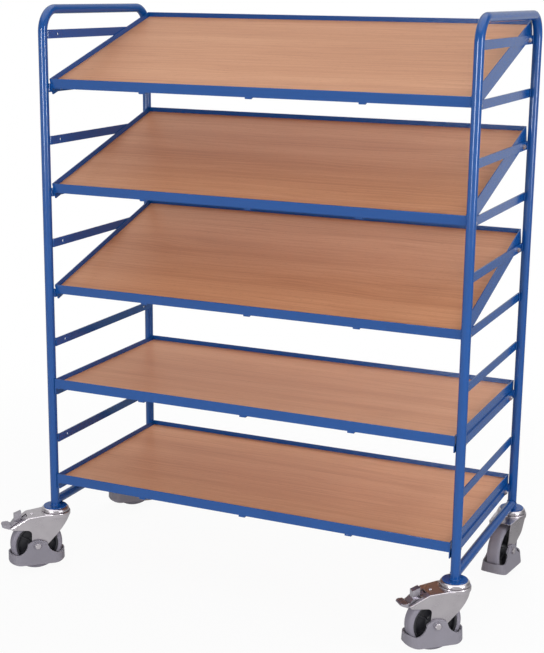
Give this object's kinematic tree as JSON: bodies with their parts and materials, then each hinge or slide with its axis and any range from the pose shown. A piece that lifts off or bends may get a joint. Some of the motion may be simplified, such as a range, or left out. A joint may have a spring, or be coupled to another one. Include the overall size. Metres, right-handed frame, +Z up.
{
  "type": "shelf trolley",
  "caption": "Tall trolley with ladder sides of blue tube, bolted shelves that sit level or tilted on the rungs, and swivel casters, the front pair braked.",
  "frame": {"origin": "on the floor below the middle of the overall outline", "axes": "+X along the shelves to the right as seen from the front, +Y to the rear, +Z up"},
  "size_m": [1.4714, 0.7764, 1.7144],
  "materials": {
    "blue_coat": "semi-gloss powder coat",
    "beech_board": "satin beech decor",
    "zinc": "bright zinc plating",
    "pedal_zinc": "dull zinc plating",
    "black_core": "matt",
    "grey_tyre": "matt",
    "grey_guard": "matt"
  },
  "bodies": {
    "frame": {"left_side_tube": "blue_coat", "right_side_tube": "blue_coat", "left_rungs": "blue_coat", "right_rungs": "blue_coat", "left_foot_tube": "blue_coat", "right_foot_tube": "blue_coat", "foot_plates": "blue_coat", "swivel_heads": "zinc", "king_bolts": "zinc", "shelf_bolts": "zinc", "shelf_nuts": "zinc"},
    "shelf_1": {"shelf_1_end_plates": "blue_coat", "shelf_1_rims": "blue_coat", "shelf_1_supports": "blue_coat", "shelf_1_board": "beech_board"},
    "shelf_2": {"shelf_2_end_plates": "blue_coat", "shelf_2_rims": "blue_coat", "shelf_2_supports": "blue_coat", "shelf_2_board": "beech_board"},
    "shelf_3": {"shelf_3_end_plates": "blue_coat", "shelf_3_rims": "blue_coat", "shelf_3_supports": "blue_coat", "shelf_3_board": "beech_board"},
    "shelf_4": {"shelf_4_end_plates": "blue_coat", "shelf_4_rims": "blue_coat", "shelf_4_supports": "blue_coat", "shelf_4_board": "beech_board"},
    "shelf_5": {"shelf_5_end_plates": "blue_coat", "shelf_5_rims": "blue_coat", "shelf_5_supports": "blue_coat", "shelf_5_board": "beech_board"},
    "front_left_swivel": {"front_left_fork": "zinc", "front_left_axle": "zinc", "front_left_bush": "zinc", "front_left_guard": "grey_guard"},
    "front_left_wheel": {"front_left_wheel_core": "black_core", "front_left_tyre": "grey_tyre"},
    "front_left_brake": {"front_left_pedal": "pedal_zinc"},
    "front_right_swivel": {"front_right_fork": "zinc", "front_right_axle": "zinc", "front_right_bush": "zinc", "front_right_guard": "grey_guard"},
    "front_right_wheel": {"front_right_wheel_core": "black_core", "front_right_tyre": "grey_tyre"},
    "front_right_brake": {"front_right_pedal": "pedal_zinc"},
    "rear_left_swivel": {"rear_left_fork": "zinc", "rear_left_axle": "zinc", "rear_left_bush": "zinc", "rear_left_guard": "grey_guard"},
    "rear_left_wheel": {"rear_left_wheel_core": "black_core", "rear_left_tyre": "grey_tyre"},
    "rear_right_swivel": {"rear_right_fork": "zinc", "rear_right_axle": "zinc", "rear_right_bush": "zinc", "rear_right_guard": "grey_guard"},
    "rear_right_wheel": {"rear_right_wheel_core": "black_core", "rear_right_tyre": "grey_tyre"}
  },
  "joints": [
    {"name": "shelf_1_tilt", "type": "hinge", "parent": "frame", "child": "shelf_1", "pos_m": [0.04474, 0.28369, 1.631], "axis": [-1, 0, 0], "range_deg": [0, 17.2]},
    {"name": "shelf_2_tilt", "type": "hinge", "parent": "frame", "child": "shelf_2", "pos_m": [0.04474, 0.28369, 1.327], "axis": [-1, 0, 0], "range_deg": [0, 17.2]},
    {"name": "shelf_3_tilt", "type": "hinge", "parent": "frame", "child": "shelf_3", "pos_m": [0.04474, 0.28369, 1.023], "axis": [-1, 0, 0], "range_deg": [0, 17.2]},
    {"name": "shelf_4_tilt", "type": "hinge", "parent": "frame", "child": "shelf_4", "pos_m": [0.04474, 0.28369, 0.567], "axis": [-1, 0, 0], "range_deg": [0, 17.2]},
    {"name": "shelf_5_tilt", "type": "hinge", "parent": "frame", "child": "shelf_5", "pos_m": [0.04474, 0.28369, 0.263], "axis": [-1, 0, 0], "range_deg": [0, 17.2]},
    {"name": "front_left_swivel_turn", "type": "hinge", "parent": "frame", "child": "front_left_swivel", "pos_m": [-0.60026, -0.26381, 0.1945], "axis": [0, 0, 1], "continuous": true},
    {"name": "front_left_wheel_roll", "type": "hinge", "parent": "front_left_swivel", "child": "front_left_wheel", "pos_m": [-0.64633, -0.3053, 0.08], "axis": [0.6691, -0.7431, 0], "continuous": true},
    {"name": "front_left_brake_press", "type": "hinge", "parent": "front_left_swivel", "child": "front_left_brake", "pos_m": [-0.69464, -0.34879, 0.142], "axis": [0.6691, -0.7431, 0], "range_deg": [0, 15]},
    {"name": "front_right_swivel_turn", "type": "hinge", "parent": "frame", "child": "front_right_swivel", "pos_m": [0.68974, -0.26381, 0.1945], "axis": [0, 0, 1], "continuous": true},
    {"name": "front_right_wheel_roll", "type": "hinge", "parent": "front_right_swivel", "child": "front_right_wheel", "pos_m": [0.64367, -0.3053, 0.08], "axis": [0.6691, -0.7431, 0], "continuous": true},
    {"name": "front_right_brake_press", "type": "hinge", "parent": "front_right_swivel", "child": "front_right_brake", "pos_m": [0.59536, -0.34879, 0.142], "axis": [0.6691, -0.7431, 0], "range_deg": [0, 15]},
    {"name": "rear_left_swivel_turn", "type": "hinge", "parent": "frame", "child": "rear_left_swivel", "pos_m": [-0.60026, 0.34219, 0.1945], "axis": [0, 0, 1], "continuous": true},
    {"name": "rear_left_wheel_roll", "type": "hinge", "parent": "rear_left_swivel", "child": "rear_left_wheel", "pos_m": [-0.64633, 0.3007, 0.08], "axis": [0.6691, -0.7431, 0], "continuous": true},
    {"name": "rear_right_swivel_turn", "type": "hinge", "parent": "frame", "child": "rear_right_swivel", "pos_m": [0.68974, 0.34219, 0.1945], "axis": [0, 0, 1], "continuous": true},
    {"name": "rear_right_wheel_roll", "type": "hinge", "parent": "rear_right_swivel", "child": "rear_right_wheel", "pos_m": [0.68143, 0.28075, 0.08], "axis": [0.991, -0.134, 0], "continuous": true}
  ]
}
